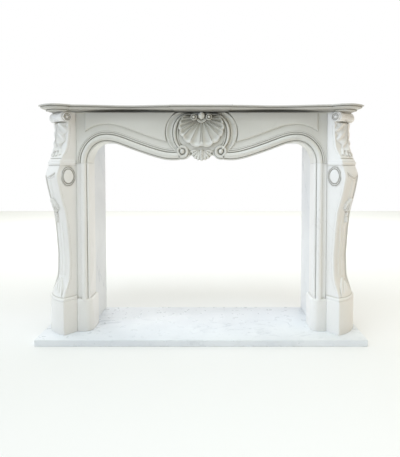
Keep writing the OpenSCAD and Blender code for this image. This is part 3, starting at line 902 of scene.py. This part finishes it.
def shaft_relief(x, z, half):
    """Sunk field between raised borders, apron, rib, husks, flutes and the tongue at the foot."""
    s = np.abs(x) / half
    apron = 773.0 + 34.0 * s**1.7
    tongue = 286.0 - 70.0 * (s / 0.72) ** 2
    field = (1 - smooth(s, 0.77, 0.82)) * (1 - smooth(z, apron - 3.0, apron))
    field = field * smooth(z, tongue, tongue + 4.0)
    out = -7.5 * field
    out += 3.2 * field * hump(z, apron - 11.0, 3.6)
    rib = smooth(z, 640, 668) * (1 - smooth(z, apron - 26, apron - 8))
    out += field * rib * (5.0 * hump(x, 0.0, 12.0) + 1.5 * hump(np.abs(x), 12.0, 3.0))
    flutes = smooth(z, 292, 306) * (1 - smooth(z, 552, 590))
    out += field * flutes * (3.5 * hump(x, 0.0, 7.0) + 3.0 * hump(np.abs(x), 27.0, 6.0))
    out += 1.6 * field * husks(x, z)
    inner = 272.0 - 62.0 * (s / 0.5) ** 2
    foot = 1 - smooth(z, tongue - 2.0, tongue)
    groove = -3.0 * smooth(z, 212, 226) * hump(z, inner + 6.0, 5.0)
    leaf = 2.0 * smooth(inner - z, 0.0, 4.0) * smooth(z, 212, 232)
    out += foot * (groove + leaf)
    out += foot * drop(x, z, (0, 262), 5.0, (0, 236), 9.0, 4.0)
    return out


def neck_relief(x, z, half):
    """Acanthus leaf draped over the neck, with folds, a curled tip and small lobes below."""
    a = np.abs(x)
    pitch = 47.0
    leaf = [[872, 20], [890, 22], [905, 30], [930, 43], [965, 54], [1000, 58], [1040, 60]]
    wide = spline(leaf, z) * (1.0 + 0.13 * np.sin(2 * np.pi * z / pitch + 0.8))
    share = np.clip(a / wide, 0.0, 1.4)
    fade = smooth(z, 886, 900) * (1 - smooth(z, 1022, 1036))
    body = 13.0 * np.sqrt(np.clip(1.0 - share**4, 0.0, 1.0))
    fold = 5.2 * np.sin(2 * np.pi * (z + 0.75 * a) / pitch)
    fold = fold * smooth(share, 0.08, 0.4) * (1 - smooth(share, 0.85, 1.0))
    vein = -4.5 * hump(x, 0.0, 3.2) + 3.0 * hump(a, 6.0, 3.5)
    out = fade * (body + fold * (share < 1.0) + vein * (share < 1.0))
    tip = drop(a, z, (0, 918), 16.0, (0, 900), 15.0, 19.0)
    out = np.maximum(out, tip * smooth(z, 880, 892))
    lobes = drop(a, z, (0, 884), 8.0, (0, 873), 6.0, 9.0)
    lobes = np.maximum(lobes, drop(a, z, (17, 889), 7.0, (24, 876), 6.0, 9.0))
    lobes = np.maximum(lobes, drop(a, z, (34, 900), 7.0, (45, 880), 5.0, 8.0))
    out = np.maximum(out, lobes)
    border = smooth(a / half, 0.90, 0.93) * smooth(z, 866, 872) * (1 - smooth(z, 1018, 1026))
    return out + 2.5 * border


def scroll_relief(t, z):
    """Waisted roll of the top scroll, with ridges round its far end."""
    waist = [
        [0, 1.5], [0.08, 1.0], [0.2, -4.0], [0.36, -8.5],
        [0.52, -6.0], [0.7, 0.5], [0.9, 2.0], [1, 1.0],
    ]
    swell = spline(waist, t)
    ridges = 1.2 * np.sin(2 * np.pi * t * 11.0) * smooth(t, 0.5, 0.62)
    return (swell + ridges) * smooth(z, 1029, 1038)


def front_relief(t, z, half):
    """Carving of the whole front, by share of its width and height."""
    x = (2 * t - 1) * half
    out = np.zeros_like(x)
    out = np.where((z > 206) & (z < 826), shaft_relief(x, z, half), out)
    out = np.where((z > 864) & (z < 1040), neck_relief(x, z, half), out)
    return out + np.where(z > 1029, scroll_relief(t, z), 0.0)


def side_relief(out, z):
    """Oval medallion with two ring grooves, and a border line along the front edge."""
    ring = np.hypot((out + 34.0) / 35.0, (z - 775.0) / 49.0)
    shape = np.asarray([
        [0.0, 6.5], [0.55, 6.0], [0.66, 5.2], [0.69, -1.0], [0.73, -1.4], [0.76, 4.4], [0.80, 5.4],
        [0.84, 4.4], [0.87, -1.4], [0.905, -1.4], [0.93, 3.6], [0.97, 3.6], [1.0, 0.0], [9.0, 0.0],
    ])
    relief = np.interp(ring, shape[:, 0], shape[:, 1])
    edge = console_out(z)
    line = hump(out, edge - 9.0, 1.6) * smooth(z, 214, 222) * (1 - smooth(z, 815, 822))
    neck_line = hump(out, edge - 7.0, 1.6) * smooth(z, 872, 878) * (1 - smooth(z, 1014, 1022))
    return relief - 1.3 * line * (ring > 1.02) - 1.3 * neck_line


def console_levels():
    """Heights of the console's rings, close together where it is carved."""
    plinth = [LEG_BOTTOM, LEG_BOTTOM + 1.2, 60.0, 120.0, 181.0, 182.6, 185.4, PLINTH_TOP]
    torus = list(np.linspace(188.2, 202.0, 9)) + [202.4, 205.8]
    shaft = list(np.arange(206.2, 825.6, 2.1)) + [825.6]
    band = list(np.linspace(826.2, 863.8, 38))
    neck = list(np.arange(864.6, 1028.0, 1.7))
    turn = np.radians(np.linspace(-86.0, 68.0, 46))
    scroll = [SCROLL_Z + SCROLL_R * math.sin(a) for a in turn]
    scroll = [level for level in scroll if level < LEG_TOP - 0.4]
    return np.array(plinth + torus + shaft + band + neck + scroll + [LEG_TOP])


def to_plan(out, side, z):
    """Points of the right console's own plan frame, in the row frame."""
    x = CORNER[0] + (out + side) * DIAG
    y = CORNER[1] + (side - out) * DIAG
    return np.stack([x, y, z + 0.0 * x], -1)


def console_body(name, fronts=97, sides=40, outers=12):
    """The right console without its scroll eyes, as rings of inner side, front, outer side, back."""
    z = console_levels()[:, None]
    inset = console_inset(z)
    edge = console_out(z)
    arris = np.where(z < PLINTH_TOP, 2.4, 1.2)
    ease = np.where(z < 31.0, 1.2, 0.0) + smooth(z, 181.0, 187.0) * 2.5 * (z <= PLINTH_TOP)
    edge = edge - ease
    inset = inset + ease * 0.8
    wide = FRONT_LEN - 2 * inset
    t = np.linspace(0.0, 1.0, fronts)[None, :]
    t = lerp(arris / wide, 1 - arris / wide, t)
    bow = BOW * (1 - (2 * t - 1) ** 2)
    front = to_plan(edge + bow + front_relief(t, z + 0 * t, wide / 2), inset + wide * t, z)
    back_out = -SIDE_LEN - inset
    rows = np.linspace(0.0, 1.0, sides)[None, :]
    inner_out = lerp(back_out, edge - arris, rows)
    relief = side_relief(inner_out, z + 0 * rows)
    inner = to_plan(inner_out, inset - relief, z)
    inner[..., 0] = np.maximum(inner[..., 0], JOINT_X + RUNNING_JOINT)
    far = CORNER[0] + CORNER[1] + (FRONT_LEN - inset) / DIAG - CONSOLE_BACK
    far_out = ((far - CORNER[0]) - (CONSOLE_BACK - CORNER[1])) / (2 * DIAG)
    rows = np.linspace(0.0, 1.0, outers)[None, :]
    outer = to_plan(lerp(edge - arris, far_out, rows), FRONT_LEN - inset + 0 * rows, z)
    joint = np.full_like(z, JOINT_X + RUNNING_JOINT)
    back = np.stack([joint, np.full_like(z, CONSOLE_BACK), z], -1)
    return loft(name, np.concatenate([inner, front, outer, back], axis=1))


def scroll_eye(name, outer):
    """Ringed eye on one end of the top scroll."""
    root = [[21.0, -4.0]]
    ring = [[21.0, 3.0], [20.6, 6.0], [19.4, 7.2], [17.0, 6.8], [16.0, 1.2], [14.6, 0.6]]
    inner_ring = [[12.6, 5.0], [10.8, 4.6], [9.6, 0.8]]
    boss = [[8.4, 3.0], [6.2, 6.0], [3.6, 7.4], [1.0, 8.2], [0.3, 8.3]]
    count = 64
    a = 2 * np.pi * np.arange(count) / count
    rings = []
    for r, high in root + ring + inner_ring + boss:
        side = FRONT_LEN - INSET + high if outer else INSET - high
        rings.append(to_plan(SCROLL_OUT + r * np.cos(a), side + 0 * a, SCROLL_Z + r * np.sin(a)))
    return loft(name, rings)


# ---- Shelf ----

# Breaks of the front line, from the middle outwards
NOTCH_X = 147.0
WAIST_X = 337.7
STEP_X = 601.0
EAR_X = 665.8
SHELF_X = 751.7
# How far the front stands from the wall in the middle, waist and ear, and beside the breaks
MIDDLE_OUT = 347.0
NOTCH_OUT = 341.0
WAIST_OUT = 324.0
STEP_INNER = 352.0
STEP_OUTER = 358.0
EAR_OUT = 382.0
TIP_OUT = 333.0
# Edge moulding, [share of the thickness from the top, inset]
SHELF_EDGE = [
    [0.0, 2.2], [0.015, 1.0], [0.05, 0.2], [0.08, 0.0], [0.21, 0.0], [0.235, 1.0], [0.245, 3.0],
    [0.25, 9.0], [0.30, 9.6], [0.345, 9.4], [0.35, 7.4], [0.38, 6.8], [0.45, 7.6], [0.53, 9.8],
    [0.6, 13.2], [0.66, 17.8], [0.70, 22.6], [0.72, 27.0], [0.725, 33.0], [0.765, 33.6],
    [0.77, 30.6], [0.80, 30.2], [0.9, 30.6], [0.935, 31.6], [0.97, 34.0], [1.0, 38.0],
]


def half_wave(x, start, end):
    """0 at the start, 1 at the end, along half a cosine."""
    return (1 - np.cos(np.pi * np.clip((x - start) / (end - start), 0, 1))) / 2


def shelf_front(x):
    """Distance of the serpentine front from the wall."""
    first = lerp(NOTCH_OUT, WAIST_OUT, half_wave(x, NOTCH_X, WAIST_X))
    second = lerp(WAIST_OUT, STEP_INNER, half_wave(x, WAIST_X, STEP_X))
    third = lerp(EAR_OUT, STEP_OUTER, np.clip((EAR_X - x) / (EAR_X - STEP_X), 0, 1) ** 2)
    last = lerp(EAR_OUT, TIP_OUT, np.clip((x - EAR_X) / (SHELF_X - EAR_X), 0, 1) ** 2)
    out = np.where(x < NOTCH_X - 0.5, MIDDLE_OUT, np.where(x < WAIST_X, first, second))
    return np.where(x < STEP_X - 1.5, out, np.where(x < EAR_X, third, last))


def shelf_line():
    """The whole front line of the shelf, its points clear of the breaks."""
    parts = [
        np.linspace(0.0, 146.0, 16), [149.4], np.linspace(154.0, 593.0, 66), [598.4, 600.6],
        np.linspace(605.0, EAR_X, 14), np.linspace(671.0, SHELF_X, 18),
    ]
    x = np.concatenate(parts)
    half = np.stack([x, WALL_Y - shelf_front(x)], -1)
    return np.concatenate([half[:0:-1] * [-1.0, 1.0], half])


def shelf(name):
    """Serpentine slab with a moulded edge, mitred along the front line."""
    line = shelf_line()
    run = np.diff(line, axis=0)
    run /= np.linalg.norm(run, axis=1)[:, None]
    edge = np.stack([-run[:, 1], run[:, 0]], -1)
    before = np.concatenate([[[1.0, 0.0]], edge])
    after = np.concatenate([edge, [[-1.0, 0.0]]])
    mitre = (before + after) / (1 + (before * after).sum(1))[:, None]
    rings = []
    for share, inset in SHELF_EDGE[::-1]:
        z = SHELF_TOP - (SHELF_TOP - LEG_TOP) * share
        front = line + inset * mitre
        far = SHELF_X - inset
        ring = [(x, y, z) for x, y in front] + [(far, WALL_Y, z), (-far, WALL_Y, z)]
        rings.append(ring)
    return loft(name, rings)


# ---- Floor, light and camera ----


def add_floor():
    """Pale floor that ends behind the mantel where the white surroundings begin."""
    side = 9000.0
    back = 4800.0
    corners = [(-side, -side, 0.0), (side, -side, 0.0), (side, back, 0.0), (-side, back, 0.0)]
    floor = new_object("floor", corners, [(0, 1, 2, 3)])
    material = bpy.data.materials.new("pale_floor")
    material.use_nodes = True
    shader = material.node_tree.nodes["Principled BSDF"]
    shader.inputs["Base Color"].default_value = (0.9, 0.9, 0.9, 1.0)
    shader.inputs["Roughness"].default_value = 0.9
    floor.data.materials.append(material)


# Studio surroundings: white behind the mantel, dimmer round the camera, brighter from the left
WORLD_BACK = (1.0, 1.0, 1.0)
WORLD_LEFT = (1.45, 1.60, 1.88)
WORLD_MIDDLE = (0.03, 0.03, 0.03)
WORLD_RIGHT = (0.1, 0.07, 0.04)
WORLD_TOP = (0.58, 0.58, 0.38)
# Soft lamps: name, place, aim, size, watts, colour
LAMPS = [
    ("overhead", (0.0, -1.0, 3.2), (0.0, -0.4, 0.0), (3.0, 1.4), 47.0, (0.80, 0.88, 1.0)),
    ("warm_right", (3.0, -0.9, 0.8), (0.0, 0.0, 0.5), (1.4, 1.2), 9.0, (1.0, 0.68, 0.38)),
    ("low_right", (0.30, -1.9, 0.6), (0.65, 0.0, 0.5), (0.9, 0.9), 1.0, (0.93, 0.98, 1.0)),
    ("floor_behind", (0.0, 2.2, 2.5), (0.0, 4.5, 0.0), (8.0, 2.0), 90.0, (1.0, 1.0, 1.0)),
]


def share_of(tree, value, low, high):
    """0 below low, 1 above high, eased between."""
    node = node_of(tree, "ShaderNodeMapRange", interpolation_type="SMOOTHSTEP")
    node.inputs["From Min"].default_value = low
    node.inputs["From Max"].default_value = high
    tree.links.new(value, node.inputs["Value"])
    return node.outputs["Result"]


def add_world():
    """Surroundings graded by direction."""
    world = bpy.data.worlds.new("studio")
    world.use_nodes = True
    tree = world.node_tree
    split = tree.nodes.new("ShaderNodeSeparateXYZ")
    tree.links.new(tree.nodes.new("ShaderNodeTexCoord").outputs["Generated"], split.inputs[0])
    across = share_of(tree, split.outputs["X"], -0.9, 0.9)
    front = ramp(tree, across, [(0.0, WORLD_LEFT), (0.5, WORLD_MIDDLE), (1.0, WORLD_RIGHT)])
    front = tint(tree, front, WORLD_TOP, share_of(tree, split.outputs["Z"], 0.35, 0.75))
    colour = tint(tree, front, WORLD_BACK, share_of(tree, split.outputs["Y"], 0.0, 0.3))
    tree.links.new(colour, tree.nodes["Background"].inputs["Color"])
    bpy.context.scene.world = world


def area_light(name, place, target, size, power, colour):
    data = bpy.data.lights.new(name, "AREA")
    data.shape = "RECTANGLE"
    data.size, data.size_y = size
    data.energy = power
    data.color = colour
    lamp = bpy.data.objects.new(name, data)
    lamp.location = place
    away = np.asarray(place, float) - np.asarray(target, float)
    lamp.rotation_euler = (
        math.atan2(math.hypot(away[0], away[1]), away[2]),
        0.0,
        math.atan2(away[1], away[0]) + math.pi / 2,
    )
    bpy.context.scene.collection.objects.link(lamp)


def add_camera():
    data = bpy.data.cameras.new("camera")
    data.sensor_width = 36.0
    data.lens = 28.83
    data.shift_x = -0.0328
    data.shift_y = -0.1094
    data.clip_end = 50.0
    camera = bpy.data.objects.new("camera", data)
    camera.location = (0.0635, -1.837, 0.8251)
    camera.rotation_euler = (math.radians(90.0 - 2.011), 0.0, 0.0)
    bpy.context.scene.collection.objects.link(camera)
    bpy.context.scene.camera = camera


# ---- The scene ----

carved = carved_marble("carved_marble", (1.0, 1.0, 1.0))
# The lintel's marble carries the shelf's shadow, painted greyer towards its top
lintel_marble_shelf_shadow = carved_marble("carved_marble_lintel_painted_shadow", (0.97, 0.97, 0.95), 0.80)
# The shelf's marble is a darker copy of the carved marble, its tone painted shade
shelf_marble_painted_shade = carved_marble("carved_marble_shelf_painted_shade", (0.64, 0.63, 0.60))
slab_colours = ((0.80, 0.81, 0.81), (0.72, 0.73, 0.74), (0.55, 0.57, 0.60))
veined = marble("slab_marble", slab_colours, 0.02, (1.6, 1.6, 0.45), (0.1, 0.15, 0.0), 0.3, 0.34)
hearth_colours = ((0.85, 0.88, 0.91), (0.78, 0.81, 0.85), (0.60, 0.63, 0.67))
hearth = marble("hearth_marble", hearth_colours, 0.022, (0.9, 2.6, 1.0), (0.0, 0.0, -0.5), 0.7, 0.30)

slab_of_node("hearth_slab", hearth, 1.6)
for reveal in ("left_reveal", "right_reveal", "top_reveal"):
    slab_of_node(reveal, veined)
right_return = right_return_shell("stone_right_return")
left_return = mirrored(right_return, "stone_left_return")
piece(right_return, "right_return", veined)
piece(left_return, "left_return", veined)

right_jamb = union("stone_right_jamb", [jamb_shaft("jamb_shaft"), jamb_plinth("jamb_plinth")])
left_jamb = mirrored(right_jamb, "stone_left_jamb")
right_parts = [console_body("console_body"), scroll_eye("eye_in", False), scroll_eye("eye_out", True)]
right_console = union("stone_right_console", right_parts)
left_console = mirrored(right_console, "stone_left_console")
lintel = union("stone_lintel", lintel_shells(), lintel_trim("lintel_trim"))
for obj, node, stone in (
    (right_jamb, "right_jamb", carved),
    (left_jamb, "left_jamb", carved),
    (right_console, "right_console", carved),
    (left_console, "left_console", carved),
    (lintel, "lintel", lintel_marble_shelf_shadow),
    (shelf("stone_shelf"), "shelf", shelf_marble_painted_shade),
):
    piece(obj, node, stone)

add_floor()
add_world()
for lamp in LAMPS:
    area_light(*lamp)
add_camera()
bpy.context.scene.view_settings.view_transform = "Standard"
